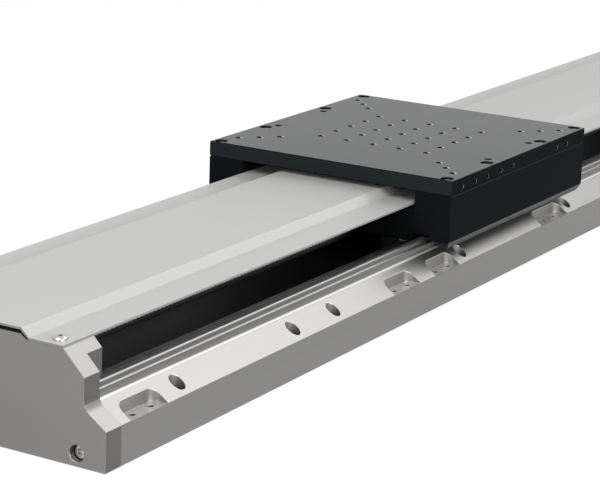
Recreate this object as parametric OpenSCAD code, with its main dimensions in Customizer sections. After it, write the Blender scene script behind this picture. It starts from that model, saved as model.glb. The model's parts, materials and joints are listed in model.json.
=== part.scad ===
// Ball screw linear module. A flanged base holds two profile rails and a ball
// screw under a fixed sheet cover. A carriage rides on four bearing blocks, its
// side legs come out beside the cover, and a drilled table top closes it above.
// Frame: +X along the travel towards the drive end, +Z up, origin on the base's
// underside, at the middle of the body. All sizes are in millimetres.

/* [Travel] */
// Travel of the table from one bumper to the other
stroke = 800; // [400:50:1600]
// Gap left between carriage and bumper at the end of the travel
stop_gap = 1; // [0.5:0.5:4]
// Length of a rubber bumper
bumper_l = 20; // [12:1:30]
// Diameter of a rubber bumper
bumper_d = 18; // [12:1:20]

/* [Body] */
// Overall width of the body and of the table
body_w = 225; // [222:1:240]
// Thickness of the base's floor under the rails
floor_t = 14.5; // [12:0.5:20]
// Width of the channel between the base's walls
channel_w = 172; // [171:0.5:176]
// Thickness of the base's wall at its foot
wall_t = 6.5; // [5.5:0.5:7]
// Thickness of the base's wall above its step
wall_top_t = 4.5; // [3:0.5:5]
// Height of the wall's top above the floor
wall_rise = 35.5; // [34:0.5:36]
// Height of the step on the outside of the wall, down from its top
wall_step = 4.5; // [3:0.5:6]
// Rise of the step's sloped ledge towards the wall
ledge_rise = 1.2; // [0.2:0.1:1.5]
// Height of the flange's outer edge
flange_h = 27.4; // [24:0.2:30]
// Slope of the flange's upper face in degrees
flange_slope = 34.6; // [28:0.2:35]
// Radius where the flange meets the wall
flange_r = 8; // [4:0.5:9]
// Chamfer along the body's outer edges
edge = 0.6; // [0.2:0.1:1]

/* [Base mounting] */
// Pitch of the holes that fasten the base
mount_pitch = 200; // [150:10:240]
// Diameter of those holes
mount_d = 11; // [8:0.5:12]
// Distance of those holes from the body's long edge
mount_in = 9; // [8:0.5:10]
// Smallest distance from a mounting hole to the end of the base
mount_end = 60; // [50:5:70]
// Distance of the extra mounting hole from the idle end
extra_in = 234; // [220:2:250]
// Distance of the end pockets' middles from the ends
pocket_in = 47; // [44:1:55]
// Length of a short pocket
pocket_l = 41; // [38:1:50]
// Length of the long pocket
pocket_long = 52; // [50:1:56]
// Corner radius of the pockets
pocket_r = 7; // [4:0.5:9]
// Depth of the pockets from the body's long edge
pocket_w = 12.7; // [12:0.1:15]
// Distance between the two tapped holes in a pocket
pocket_pitch = 20; // [16:1:22]

/* [Ends] */
// Thickness of the end plates
plate_t = 16; // [14:1:20]
// Length of the idle bearing block
idle_l = 16; // [14:1:24]
// Length of the drive bearing housing
housing_l = 40; // [38:1:50]
// How far the plates stand out beyond the base's wall
plate_lip = 3.1; // [2:0.1:3.6]
// Radius where the plate's foot meets its side
plate_r = 10.4; // [6:0.2:11]
// Height of the plate's raised middle above the cover's seat
plate_rise = 3.2; // [1:0.2:4]
// Distance of the plate screws from the body's long edge
plate_screw_in = 22.5; // [20:0.5:24]
// Height of the plate screws
plate_screw_z = 8.7; // [8:0.1:9.5]
// Depth of the plate screws' heads below the plate's face
plate_sink = 4.5; // [1:0.5:5]

/* [Cover] */
// Width of the cover over its lips
cover_w = 159; // [156:0.5:159.5]
// Sheet thickness of the cover
cover_t = 1.6; // [1:0.1:2]
// Width of the cover's raised middle at its foot
hat_w = 106.6; // [100:0.2:112]
// Run of the slope from the lip to the raised middle
hat_run = 6.6; // [5:0.2:8]
// Height of the raised middle above the lips
hat_rise = 5.7; // [5:0.1:6.5]
// Distance of the cover screws from the cover's edges
cover_screw_in = 9.5; // [8:0.5:11]

/* [Guides] */
// Width of the rails
rail_w = 20; // [18:0.5:21]
// Height of the rails
rail_h = 17.5; // [16:0.5:19]
// Distance of each rail from the middle
rail_y = 57; // [56:0.5:57.5]
// Pitch of the rail screws
rail_pitch = 60; // [50:5:70]
// Clear length kept at both ends of a rail
rail_end = 3; // [2:0.5:6]
// Width of a bearing block
block_w = 44; // [42:0.5:44.5]
// Length of a bearing block with its end caps
block_l = 77.5; // [74:0.5:82]
// Length of one end cap of a bearing block
cap_l = 13; // [10:0.5:15]
// Height from the rail's foot to the top of the block
block_stack = 30; // [28:0.5:32]
// Gap between the block's underside and the rail's foot
block_gap = 4.6; // [4:0.2:6]
// Distance of the blocks' middles from the table's middle
block_x = 55; // [52:0.5:60]
// Running clearance between block and rail
block_play = 0.35; // [0.3:0.05:0.4]

/* [Ball screw] */
// Outer diameter of the screw
screw_d = 20; // [18:0.5:20.5]
// Height of the screw's axis above the floor
screw_rise = 24.5; // [24:0.5:25]
// Radial clearance of the nut on the screw
nut_play = 0.08; // [0.04:0.01:0.1]
// Diameter of the nut's body
nut_d = 36; // [34:0.5:38]
// Length of the nut with its flange
nut_l = 44; // [36:1:46]
// Diameter of the nut's flange
nut_flange_d = 58; // [57:0.5:60]
// Thickness of the nut's flange
nut_flange_t = 10; // [8:0.5:12]
// Width of the nut's flange over its flats
nut_flat = 41; // [38:0.5:42]
// Pitch circle of the nut's flange screws
nut_pcd = 47; // [46:0.5:48]
// Diameter of the idle journal and its bearing's bore
idle_bore = 12; // [10:0.5:13]
// Outer diameter of the idle bearing
idle_od = 32; // [30:0.5:34]
// Width of the idle bearing
idle_w = 10; // [9:0.5:10.5]
// Diameter of the drive journal and its bearings' bore
drive_bore = 17; // [16:0.5:17.5]
// Outer diameter of the drive bearings
drive_od = 40; // [38:0.5:42]
// Width of one drive bearing
drive_w = 12; // [11:0.5:13]

/* [Carriage] */
// Length of the table top and of the slide block
table_l = 250; // [244:2:280]
// Thickness of the table top
table_t = 12.5; // [11:0.5:18]
// How far the slide block's feet reach past the bearing blocks
foot_lip = 1; // [0.5:0.5:2]
// Height of the slide block's feet over the bearing blocks
foot_rise = 15.5; // [15:0.5:20]
// Thickness of the slide block's bridge
bridge_t = 12; // [11:0.5:14]
// Gap between the bridge and the cover's lips
under_gap = 3.3; // [2:0.1:5]
// Gap between the cover and the table top
over_gap = 3.9; // [2:0.1:6]
// Gap between the cover's lips and the legs
side_gap = 0.8; // [0.5:0.1:1.5]
// Gap between the base's wall and the skirts beside it
wall_gap = 3; // [2:0.1:3.5]
// Gap between the base's wall and the legs above it
leg_gap = 2.5; // [2:0.1:3.5]
// Depth of the skirts below the legs
skirt_drop = 9; // [6:0.5:10]
// Corner radius of the skirts
skirt_r = 6; // [3:0.5:7]
// Length of the nut's bracket
bracket_l = 40; // [36:1:44]
// Width of the nut's bracket
bracket_w = 64; // [62:0.5:65]
// Least gap between the nut's bracket and the slide block's feet
bracket_gap = 1; // [0.5:0.5:2]

/* [Table holes] */
// Pitch of the middle grid of tapped holes
grid_pitch = 25; // [20:1:26]
// Distance of the first corner hole from both middles
corner_first = 75; // [72:0.5:78]
// Step between the corner holes along both directions
corner_step = 12.5; // [11:0.5:12.5]
// Distance of the outer table screws from the table's end
screw_end = 6; // [6:0.5:8]
// Distance of the table screws from the table's long edge
screw_edge = 7.5; // [7:0.5:9]
// Depth of the table screws' heads below the table's face
table_sink = 1.6; // [0.2:0.1:2]
// Distance of the inner table screws from the table's middle
screw_mid = 50; // [48:0.5:54]
// Distance of the dowel holes from the table's middle
dowel_x = 38; // [36:0.5:40]
// Diameter of the dowel holes
dowel_d = 6; // [4:0.5:7]
// Depth of the small tapped holes in the table's long edges
side_depth = 8; // [4:0.5:9]

/* [Motor adapter] */
// Length of the motor adapter
adapter_l = 50; // [48:1:60]
// Width and height of the motor adapter
adapter_w = 58; // [57:0.5:60]
// Diameter of the motor's centring register
pilot_d = 38.1; // [36:0.1:40]
// Depth of the motor's centring register
pilot_depth = 5; // [2:0.5:8]
// Spacing of the motor's screw holes
motor_pitch = 47.14; // [46:0.02:48]
// Height of the adapter's own screws above and below the axis
adapter_screw_rise = 15.5; // [15:0.5:16]
// Bore for the motor's shaft
motor_bore = 6.35; // [5:0.05:8]
// Outer diameter of the coupling
coupling_d = 25; // [24:0.5:28]
// Length of one coupling hub's solid part
hub_l = 12; // [10:0.5:13]
// Length of the coupling's jaws and spider
jaw_l = 8; // [6:0.5:9]

/* [Hidden] */
$fn = 48;

// Socket screws as shares of their size: core of the thread, clear hole, head
// and the bored seat of the head, all as radii
core = 0.42;
clear = 0.54;
head = 0.82;
seat = 0.9;

// Broken edge round a bored seat
rim = 0.5;

// Free gap round every shank, bearing ring and insert, and the overrun of a cut
fit = 0.02;
cut = 1;

// Lengths along X
body_l = stroke + table_l + 2*plate_t + idle_l + housing_l + 2*(bumper_l + stop_gap);
base_l = body_l - 2*plate_t;
idle_x = -body_l/2;
drive_x = body_l/2;
idle_face = idle_x + plate_t + idle_l;
drive_face = drive_x - plate_t - housing_l;
table_x = (idle_face + drive_face)/2;

// Heights
block_z = floor_t + block_stack;
bridge_z = block_z + foot_rise;
lip_z = bridge_z + bridge_t + under_gap;
hat_z = lip_z + cover_t + hat_rise;
leg_top = hat_z + over_gap;
table_z = leg_top + table_t;
wall_z = floor_t + wall_rise;
leg_z = wall_z + leg_gap;
screw_z = floor_t + screw_rise;

// Half widths across Y
wall_in = channel_w/2;
wall_out = wall_in + wall_t;
leg_in = cover_w/2 + side_gap;
foot_out = rail_y + block_w/2 + foot_lip;
foot_in = max(rail_y - block_w/2 - foot_lip, bracket_w/2 + bracket_gap);
insert_w = wall_in - 0.2;

// Raised middle of plates and bearing supports, inside the cover
middle_w = hat_w/2 - 2.3;
middle_run = 1.4*plate_rise;

// Rails: a whole number of screw pitches, set in the middle of the free length
rail_n = floor((drive_face - idle_face - 2*rail_end)/rail_pitch);
rail_l = rail_n*rail_pitch;
rail_x = table_x - rail_l/2;
rail_seat = 8.5;

// Base mounting holes and pockets
mount_n = floor((base_l - 2*mount_end)/mount_pitch) + 1;
mount_y = body_w/2 - mount_in;
pockets = [[idle_x + pocket_in, pocket_l], [-202, pocket_l], [-136, pocket_l],
    [62, pocket_long], [drive_x - pocket_in, pocket_l]];
pocket_floor = flange_h - 0.4;
pocket_hole_in = 6.8;
pocket_hole_depth = 12;

// Table screws, the same holes in table and legs
table_screw_xs = [-table_l/2 + screw_end, -screw_mid, screw_mid, table_l/2 - screw_end];
table_screw_y = body_w/2 - screw_edge;
table_dowel_y = corner_first + 2*corner_step;

// Small holes in the table's long edges: place from its middle and thread size
side_holes = [[-106.5, 4], [-84.5, 5], [-62.5, 4], [-38, 4], [-16.5, 4], [68.5, 4], [89, 4]];

// Screw fasteners used here
m3 = 3;
m4 = 4;
m5 = 5;
m6 = 6;
table_seat = m6 + table_sink;
nut_seat = m5 + 0.4;

// How far the screws go into their threads; a tapped hole is tap_free deeper
tap_free = 1;
plate_grip = 10;
support_grip = 9;
cover_grip = 9;
rail_grip = 7;
block_grip = 6;
bracket_grip = 12;
nut_grip = 10;
table_grip = 14;
adapter_grip = 11;
retainer_grip = 6;
clamp_grip = 8;

// Screws that join a bearing support to its plate: distance from the middle,
// height of the lower pair over the floor, rise of the upper pair over it, and
// how deep their heads sit in the long drive housing
support_screw_y = 70;
support_screw_low = 9;
support_screw_rise = 35;
support_screws = [for (s = [-1, 1], rise = [0, support_screw_rise])
    [s*support_screw_y, floor_t + support_screw_low + rise]];
housing_seat = 12;

// Ball screw stations along X
spacer_l = 4;
idle_seat = idle_face - 2;
drive_seat = drive_face + 11;
screw_stop = drive_seat - spacer_l;
lock_x = drive_seat + 2*drive_w;
lock_l = 10;
lock_d = 30;
hub_x = drive_x + 4;
spider_x = hub_x + hub_l;
motor_hub_x = spider_x + jaw_l;
motor_side_r = 6;

// Bearings: circle and radius of the balls, their running gap, circlip, retainer
ball_play = 0.15;
idle_pitch_r = (idle_bore + idle_od)/4;
idle_ball_r = 2.4;
drive_pitch_r = (drive_bore + drive_od)/4;
drive_ball_r = 3.2;
clip_t = 1;
clip_depth = 0.6;
retainer_t = 5;
retainer_seat = 0.8;
retainer_r = drive_od/2 + 9;
retainer_pcd_r = drive_od/2 + 4.5;

// Bearing blocks
block_foot = floor_t + block_gap;
seal_t = 1.5;
block_core_l = block_l - 2*cap_l - 2*seal_t;
block_screw_x = 18;
block_screw_y = 16;
block_screw_seat = 12;
nipple_z = block_z - 6;

// Nut bracket and ball nut along X, from the table's middle
bracket_x0 = -20;
bracket_foot = floor_t + 3;
bracket_screw_xs = [4, bracket_l - 9];
bracket_screw_y = bracket_w/2 - 6;
nut_angles = [-30, 0, 30, 150, 180, 210];
nut_x0 = bracket_x0 - nut_flange_t;
wiper_l = 3;
wiper_r = screw_d/2 + 4;

// Coupling jaws and clamps, and the motor adapter's wall behind its register
jaw_spread = 36;
jaw_r0 = 5;
jaw_free = 0.5;
clamp_slit = 1;
clamp_z = 9;
clamp_seat = 2.5;
adapter_r = pilot_d/2 - 1;
window_h = 20;
motor_tap = 14;

// ---------------------------------------------------------------- helpers

// Half an outline, from the lower right point up, closed by its mirror image
function both(pts) = concat(pts, [for (i = [len(pts)-1:-1:0]) [-pts[i][0], pts[i][1]]]);

// Arc between a slope that falls outwards and an upright wall that meet at corner
function blend(corner, r, n=8) =
    let (s = flange_slope,
         c = corner + r/sin((90 + s)/2)*[cos((90 - s)/2), sin((90 - s)/2)])
    [for (i = [0:n]) let (a = 270 - s - i/n*(90 - s)) c + r*[cos(a), sin(a)]];

// Height of the flange's slope at a distance from the middle
function slope_z(y) = flange_h + (body_w/2 - y)*tan(flange_slope);

// An outline across the body, drawn as [y, z], run from x0 to x1
module along_x(x0, x1) {
    translate([x0, 0, 0]) rotate([90, 0, 90]) linear_extrude(x1 - x0) children();
}

// A round bar or hole along X from x0 to x1
module rod_x(r, x0, x1, y=0, z=screw_z) {
    translate([x0, y, z]) rotate([0, 90, 0]) cylinder(r=r, h=x1 - x0);
}

// A socket head screw, its head resting on z = 0 and its shank pointing down
module cap_screw(d, l) {
    bevel = 0.08*d;
    difference() {
        union() {
            cylinder(r=head*d, h=d - bevel);
            translate([0, 0, d - bevel]) cylinder(r1=head*d, r2=head*d - bevel, h=bevel);
            translate([0, 0, -l]) cylinder(r=core*d - fit, h=l + 0.1);
        }
        translate([0, 0, d/2]) cylinder(r=0.46*d, h=d, $fn=6);
    }
}

// The plain hole for the shank of a socket screw, and the bored seat of its head
module cap_hole(d, l, depth) {
    translate([0, 0, -l]) cylinder(r=clear*d, h=l + 0.1);
    cylinder(r=seat*d, h=depth);
}

// A button head screw, its head resting on z = 0
module button_screw(d, l) {
    head_r = 0.93*d;
    dome = 0.55*d;
    difference() {
        union() {
            rotate_extrude() polygon(concat([[0, 0], [head_r, 0]],
                [for (i = [0:7]) [head_r*cos(i*12), 0.15*d + (dome - 0.15*d)*sin(i*12)/sin(84)]],
                [[0, dome]]));
            translate([0, 0, -l]) cylinder(r=core*d - fit, h=l + 0.1);
        }
        translate([0, 0, dome - 0.3*d]) cylinder(r=0.33*d, h=d, $fn=6);
    }
}

// A tapped hole down from z = 0, for a screw that goes grip deep
module tapped(d, grip) {
    translate([0, 0, -grip - tap_free]) cylinder(r=core*d, h=grip + tap_free + cut);
}

// Children at the four corners of a rectangle
module corners(x, y) {
    for (i = [-1, 1], j = [-1, 1]) translate([i*x, j*y, 0]) children();
}

// Children on both long sides, the second one mirrored
module both_sides() {
    children();
    mirror([0, 1, 0]) children();
}

// A bearing ring between two radii, with the groove of its balls
module race(r0, r1, w, pitch_r, ball_r) {
    rotate([0, 90, 0]) rotate_extrude() difference() {
        translate([r0, 0]) square([r1 - r0, w]);
        translate([pitch_r, w/2]) circle(r=ball_r);
    }
}

// The balls of one bearing, ball_play smaller than their groove
module balls(w, pitch_r, ball_r, n) {
    for (i = [0:n-1]) rotate([i*360/n, 0, 0])
        translate([w/2, 0, pitch_r]) sphere(r=ball_r - ball_play, $fn=20);
}

// ------------------------------------------------------------------ base

function base_half() = let (zc = slope_z(wall_out)) concat(
    [[body_w/2 - edge, 0], [body_w/2, edge], [body_w/2, flange_h]],
    blend([wall_out, zc], flange_r),
    [[wall_out, wall_z - wall_step], [wall_in + wall_top_t, wall_z - wall_step + ledge_rise],
     [wall_in + wall_top_t, wall_z - 1], [wall_in + wall_top_t - 1, wall_z],
     [wall_in, wall_z], [wall_in, floor_t]]);

// A pocket in the flange, open at the body's long edge, with two tapped holes
module pocket(x, l) {
    r = pocket_r;
    translate([x, -body_w/2, pocket_floor]) {
        linear_extrude(wall_z - pocket_floor) union() {
            translate([-l/2, -cut]) square([l, pocket_w - r + cut]);
            translate([-l/2 + r, -cut]) square([l - 2*r, pocket_w + cut]);
            for (s = [-1, 1]) translate([s*(l/2 - r), pocket_w - r]) circle(r=r);
        }
        for (s = [-1, 1]) translate([s*pocket_pitch/2, pocket_hole_in, 0])
            tapped(m5, pocket_hole_depth - tap_free);
    }
}

module base_extrusion() {
    color("silver") difference() {
        along_x(-base_l/2, base_l/2) polygon(both(base_half()));
        both_sides() {
            for (i = [0:mount_n-1]) translate([(i - (mount_n - 1)/2)*mount_pitch, -mount_y, -cut])
                cylinder(d=mount_d, h=wall_z + 2*cut);
            translate([idle_x + extra_in, -mount_y, -cut]) cylinder(d=mount_d, h=wall_z + 2*cut);
            for (p = pockets) pocket(p[0], p[1]);
            for (i = [0:rail_n-1]) translate([rail_x + (i + 0.5)*rail_pitch, rail_y, floor_t])
                tapped(m5, rail_grip);
            for (s = [-1, 1]) translate([s*base_l/2, -body_w/2 + plate_screw_in, plate_screw_z])
                rotate([0, s*90, 0]) tapped(m6, plate_grip);
        }
    }
}

// ------------------------------------------------------------- end plates

// Outline shared by both end plates: flange foot, upright side, bevel up to the
// cover's edge, seat of the cover's lip, raised middle inside the cover
function plate_half() = let (side = wall_out + plate_lip, zc = slope_z(side)) concat(
    [[body_w/2 - edge, 0], [body_w/2, edge], [body_w/2, flange_h]],
    blend([side, zc], plate_r),
    [[side, lip_z - (side - cover_w/2)], [cover_w/2, lip_z],
     [middle_w, lip_z], [middle_w - middle_run, lip_z + plate_rise]]);

// Outline of what stands between the base's walls behind a plate
function insert_half() = let (bevel = max(0.2, insert_w - cover_w/2)) [[insert_w, floor_t],
    [insert_w, lip_z - bevel], [insert_w - bevel, lip_z],
    [middle_w, lip_z], [middle_w - middle_run, lip_z + plate_rise]];

// Children at the seats of the two cover screws at a distance along the body
module cover_screw_places(x) {
    for (s = [-1, 1]) translate([x, s*(cover_w/2 - cover_screw_in), lip_z]) children();
}

// One end plate from x0 outwards; side is -1 at the idle end and 1 at the drive end
module end_plate(side) {
    inner = side*(body_l/2 - plate_t);
    difference() {
        along_x(min(inner, side*body_l/2), max(inner, side*body_l/2)) polygon(both(plate_half()));
        for (s = [-1, 1]) translate([side*body_l/2, s*(body_w/2 - plate_screw_in), plate_screw_z])
            rotate([0, side*90, 0]) {
                translate([0, 0, -m6 - plate_sink]) cap_hole(m6, plate_t, 2*m6);
                translate([0, 0, -rim]) cylinder(r1=seat*m6, r2=seat*m6 + 2*rim, h=2*rim);
            }
        cover_screw_places(side*(body_l/2 - cover_screw_in)) tapped(m5, cover_grip);
        for (p = support_screws) translate([inner, p[0], p[1]])
            rotate([0, -side*90, 0]) tapped(m6, support_grip);
    }
}

module idle_end_plate() {
    color("gray") end_plate(-1);
}

module drive_end_plate() {
    color("gray") difference() {
        end_plate(1);
        rod_x(lock_d/2 + 3, drive_x - plate_t - cut, drive_x + cut);
        for (p = adapter_places()) translate([drive_x - plate_t, p[0], p[1]]) rotate([0, -90, 0])
            translate([0, 0, -m4]) cap_hole(m4, plate_t, 2*m4);
    }
}

// Screws of the plates into the base's ends
module plate_screws(side) {
    for (s = [-1, 1]) translate([side*body_l/2, s*(body_w/2 - plate_screw_in), plate_screw_z])
        rotate([0, side*90, 0]) translate([0, 0, -m6 - plate_sink])
            cap_screw(m6, plate_t - m6 - plate_sink + plate_grip);
}

module idle_plate_screws() {
    color("dimgray") plate_screws(-1);
}

module drive_plate_screws() {
    color("dimgray") plate_screws(1);
}

// --------------------------------------------------------------- bearings

// Idle end: a block between the walls holds one deep groove bearing
module idle_bearing_block() {
    x0 = idle_x + plate_t;
    color("gray") difference() {
        along_x(x0, idle_face) polygon(both(insert_half()));
        rod_x(idle_od/2 + fit, idle_seat - idle_w, idle_face + cut);
        rod_x(idle_od/2 - 2.5, x0 - cut, idle_face + cut);
        for (p = support_screws) translate([idle_face, p[0], p[1]]) rotate([0, 90, 0])
            translate([0, 0, -m6]) cap_hole(m6, idle_l, 2*m6);
    }
}

module idle_block_screws() {
    color("dimgray") for (p = support_screws) translate([idle_face - m6, p[0], p[1]])
        rotate([0, 90, 0]) cap_screw(m6, idle_l - m6 + support_grip);
}

module idle_bearing_outer() {
    color("lightgray") translate([idle_seat - idle_w, 0, screw_z])
        race(idle_pitch_r + 1.5, idle_od/2, idle_w, idle_pitch_r, idle_ball_r);
}

module idle_bearing_balls() {
    color("white") translate([idle_seat - idle_w, 0, screw_z])
        balls(idle_w, idle_pitch_r, idle_ball_r, 8);
}

module idle_bearing_inner() {
    color("lightgray") translate([idle_seat - idle_w, 0, screw_z])
        race(idle_bore/2 + fit, idle_pitch_r - 1.5, idle_w, idle_pitch_r, idle_ball_r);
}

// Drive end: a housing between the walls holds a pair of angular contact bearings
module drive_bearing_housing() {
    x1 = drive_x - plate_t;
    color("gray") difference() {
        along_x(drive_face, x1) polygon(both(insert_half()));
        rod_x(drive_od/2 + fit, drive_seat, x1 + cut);
        rod_x(drive_od/2 - 3, drive_face - cut, x1 + cut);
        retainer_disc(0.2, drive_seat + 2*drive_w, x1 + cut);
        for (p = support_screws) translate([drive_face, p[0], p[1]]) rotate([0, -90, 0])
            translate([0, 0, -m6 - housing_seat]) cap_hole(m6, housing_l, 2*m6 + housing_seat);
        retainer_places() translate([lock_x, 0, 0]) rotate([0, 90, 0]) tapped(m4, retainer_grip);
    }
}

// Children turned about the screw's axis, drawn with that axis at y = z = 0
module rotate_screw(a) {
    translate([0, 0, screw_z]) rotate([a, 0, 0]) children();
}

// Children at the four screws of the retainer, drawn on the axis y = z = 0
module retainer_places() {
    for (a = [45:90:315]) rotate_screw(a) translate([0, retainer_pcd_r, 0]) children();
}

module housing_screws() {
    color("dimgray") for (p = support_screws) translate([drive_face + m6 + housing_seat, p[0], p[1]])
        rotate([0, -90, 0]) cap_screw(m6, housing_l - m6 - housing_seat + support_grip);
}

module drive_bearing_outers() {
    color("lightgray") for (i = [0, 1]) translate([drive_seat + i*drive_w, 0, screw_z])
        race(drive_pitch_r + 2, drive_od/2, drive_w, drive_pitch_r, drive_ball_r);
}

module drive_bearing_balls() {
    color("white") for (i = [0, 1]) translate([drive_seat + i*drive_w, 0, screw_z])
        balls(drive_w, drive_pitch_r, drive_ball_r, 10);
}

module drive_bearing_inners() {
    color("lightgray") for (i = [0, 1]) translate([drive_seat + i*drive_w, 0, screw_z])
        race(drive_bore/2 + fit, drive_pitch_r - 2, drive_w, drive_pitch_r, drive_ball_r);
}

// Disc with two flats that clears the channel's floor; grow widens it to a seat
module retainer_disc(grow, x0, x1) {
    flat = retainer_pcd_r*sin(45) + seat*m4 + 1 + grow;
    intersection() {
        rod_x(retainer_r + grow, x0, x1);
        translate([x0, -retainer_r - grow, screw_z - flat]) cube([x1 - x0, 2*(retainer_r + grow), 2*flat]);
    }
}

module bearing_retainer() {
    color("dimgray") difference() {
        retainer_disc(0, lock_x, lock_x + retainer_t - 0.2);
        rod_x(lock_d/2 + 2, lock_x - cut, lock_x + retainer_t + cut);
        retainer_places() translate([lock_x + retainer_seat, 0, 0]) rotate([0, 90, 0])
            cap_hole(m4, retainer_seat + cut, retainer_t);
    }
}

module retainer_screws() {
    color("dimgray") retainer_places() translate([lock_x + retainer_seat, 0, 0])
        rotate([0, 90, 0]) cap_screw(m4, retainer_seat + retainer_grip);
}

// ---------------------------------------------------------------- bumpers

// Rubber bumpers on a bearing support, in line with the slide block's feet
module bumpers(x0) {
    for (s = [-1, 1]) translate([x0, s*rail_y, bridge_z - 4]) rotate([0, 90, 0]) {
        cylinder(d=bumper_d, h=bumper_l - 2);
        translate([0, 0, bumper_l - 2]) cylinder(d1=bumper_d, d2=bumper_d - 4, h=2);
    }
}

module idle_bumpers() {
    color("darkslategray") bumpers(idle_face);
}

module drive_bumpers() {
    color("darkslategray") translate([drive_face, 0, 0]) mirror([1, 0, 0]) bumpers(0);
}

// ------------------------------------------------------------------ cover

// The cover's outer outline on one side, and its inner outline right across
function cover_half() = [[cover_w/2, lip_z], [cover_w/2, lip_z + cover_t],
    [hat_w/2, lip_z + cover_t], [hat_w/2 - hat_run, hat_z]];
function cover_inner() = let (k = cover_t*tan(atan(hat_rise/hat_run)/2)) [
    [-hat_w/2 + k, lip_z], [-hat_w/2 + hat_run + k, hat_z - cover_t],
    [hat_w/2 - hat_run - k, hat_z - cover_t], [hat_w/2 - k, lip_z]];

module top_cover() {
    color("gainsboro") difference() {
        along_x(idle_x, drive_x) polygon(concat(both(cover_half()), cover_inner()));
        for (s = [-1, 1]) cover_screw_places(s*(body_l/2 - cover_screw_in))
            translate([0, 0, -cut]) cylinder(r=clear*m5, h=cover_t + 2*cut);
    }
}

module cover_screws() {
    color("silver") for (s = [-1, 1]) cover_screw_places(s*(body_l/2 - cover_screw_in))
        translate([0, 0, cover_t]) button_screw(m5, cover_t + cover_grip);
}

// ------------------------------------------------------------------ rails

// Rail section: broad foot, waist, ball grooves and a crowned head
function rail_half() = [[rail_w/2, floor_t], [rail_w/2, floor_t + 0.42*rail_h],
    [0.42*rail_w, floor_t + 0.52*rail_h], [0.42*rail_w, floor_t + 0.6*rail_h],
    [rail_w/2, floor_t + 0.7*rail_h], [rail_w/2, floor_t + 0.84*rail_h],
    [0.45*rail_w, floor_t + 0.94*rail_h], [0.43*rail_w, floor_t + rail_h]];

module rail() {
    translate([0, rail_y, 0]) difference() {
        along_x(rail_x, rail_x + rail_l) polygon(both(rail_half()));
        for (i = [0:rail_n-1]) translate([rail_x + (i + 0.5)*rail_pitch, 0, floor_t + rail_h - rail_seat])
            cap_hole(m5, rail_h, rail_seat + cut);
    }
}

module left_rail() {
    color("lightsteelblue") rail();
}

module right_rail() {
    color("lightsteelblue") mirror([0, 1, 0]) rail();
}

module rail_screws() {
    for (i = [0:rail_n-1]) translate([rail_x + (i + 0.5)*rail_pitch, rail_y, floor_t + rail_h - rail_seat])
        cap_screw(m5, rail_h - rail_seat + rail_grip);
}

module left_rail_screws() {
    color("dimgray") rail_screws();
}

module right_rail_screws() {
    color("dimgray") mirror([0, 1, 0]) rail_screws();
}

// --------------------------------------------------------- bearing blocks

// Section of a block with chamfered edges; shrink draws it inside the body's outline
function block_half(shrink) = [[block_w/2 - 2.5 - shrink, block_foot + shrink],
    [block_w/2 - shrink, block_foot + 4], [block_w/2 - shrink, block_z - 2 - shrink],
    [block_w/2 - 2 - shrink, block_z - shrink]];

// The channel over the rail, play wider than it
function channel_half(play) = [[rail_w/2 + play, block_foot - cut],
    [rail_w/2 + play, floor_t + 0.42*rail_h + play/2], [0.42*rail_w + play, floor_t + 0.52*rail_h + play/2],
    [0.42*rail_w + play, floor_t + 0.6*rail_h - play/2], [rail_w/2 + play, floor_t + 0.7*rail_h - play/2],
    [rail_w/2 + play, floor_t + rail_h + play]];

// A length of a block's section, cut by the channel
module block_slice(x0, x1, shrink, play) {
    difference() {
        along_x(x0, x1) polygon(both(block_half(shrink)));
        along_x(x0 - cut, x1 + cut) polygon(both(channel_half(play)));
    }
}

module block_body() {
    difference() {
        block_slice(-block_core_l/2, block_core_l/2, 0, block_play);
        corners(block_screw_x, block_screw_y) translate([0, 0, block_z]) tapped(m5, block_grip);
    }
}

module block_caps() {
    for (s = [-1, 1]) block_slice(s > 0 ? block_core_l/2 : -block_core_l/2 - cap_l,
        s > 0 ? block_core_l/2 + cap_l : -block_core_l/2, 0.6, block_play + 0.1);
}

module block_seals() {
    for (s = [-1, 1]) block_slice(s > 0 ? block_l/2 - seal_t : -block_l/2,
        s > 0 ? block_l/2 : -block_l/2 + seal_t, 0.6, block_play);
}

// Children at a block's place: side 1 is left (+Y), end -1 is the idle end
module at_block(side, end) {
    translate([table_x + end*block_x, side*rail_y, 0]) children();
}

module left_idle_block() {
    color("lightgray") at_block(1, -1) block_body();
}

module left_drive_block() {
    color("lightgray") at_block(1, 1) block_body();
}

module right_idle_block() {
    color("lightgray") at_block(-1, -1) block_body();
}

module right_drive_block() {
    color("lightgray") at_block(-1, 1) block_body();
}

module left_idle_block_caps() {
    color("seagreen") at_block(1, -1) block_caps();
}

module left_drive_block_caps() {
    color("seagreen") at_block(1, 1) block_caps();
}

module right_idle_block_caps() {
    color("seagreen") at_block(-1, -1) block_caps();
}

module right_drive_block_caps() {
    color("seagreen") at_block(-1, 1) block_caps();
}

module left_block_seals() {
    color("black") for (e = [-1, 1]) at_block(1, e) block_seals();
}

module right_block_seals() {
    color("black") for (e = [-1, 1]) at_block(-1, e) block_seals();
}

// Grease nipples on the outer ends of the blocks, between seal and carriage end
module grease_nipples() {
    color("goldenrod") for (side = [-1, 1], e = [-1, 1]) at_block(side, e)
        translate([e*block_l/2, 0, nipple_z]) rotate([0, e*90, 0]) {
            cylinder(r=3.4, h=3, $fn=6);
            rotate_extrude() polygon([[0, 3], [2.3, 3], [2.3, 4.2], [1.5, 5], [1.9, 6],
                [1.9, 6.8], [1.2, 7.6], [0, 7.6]]);
        }
}

// --------------------------------------------------------------- carriage

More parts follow.
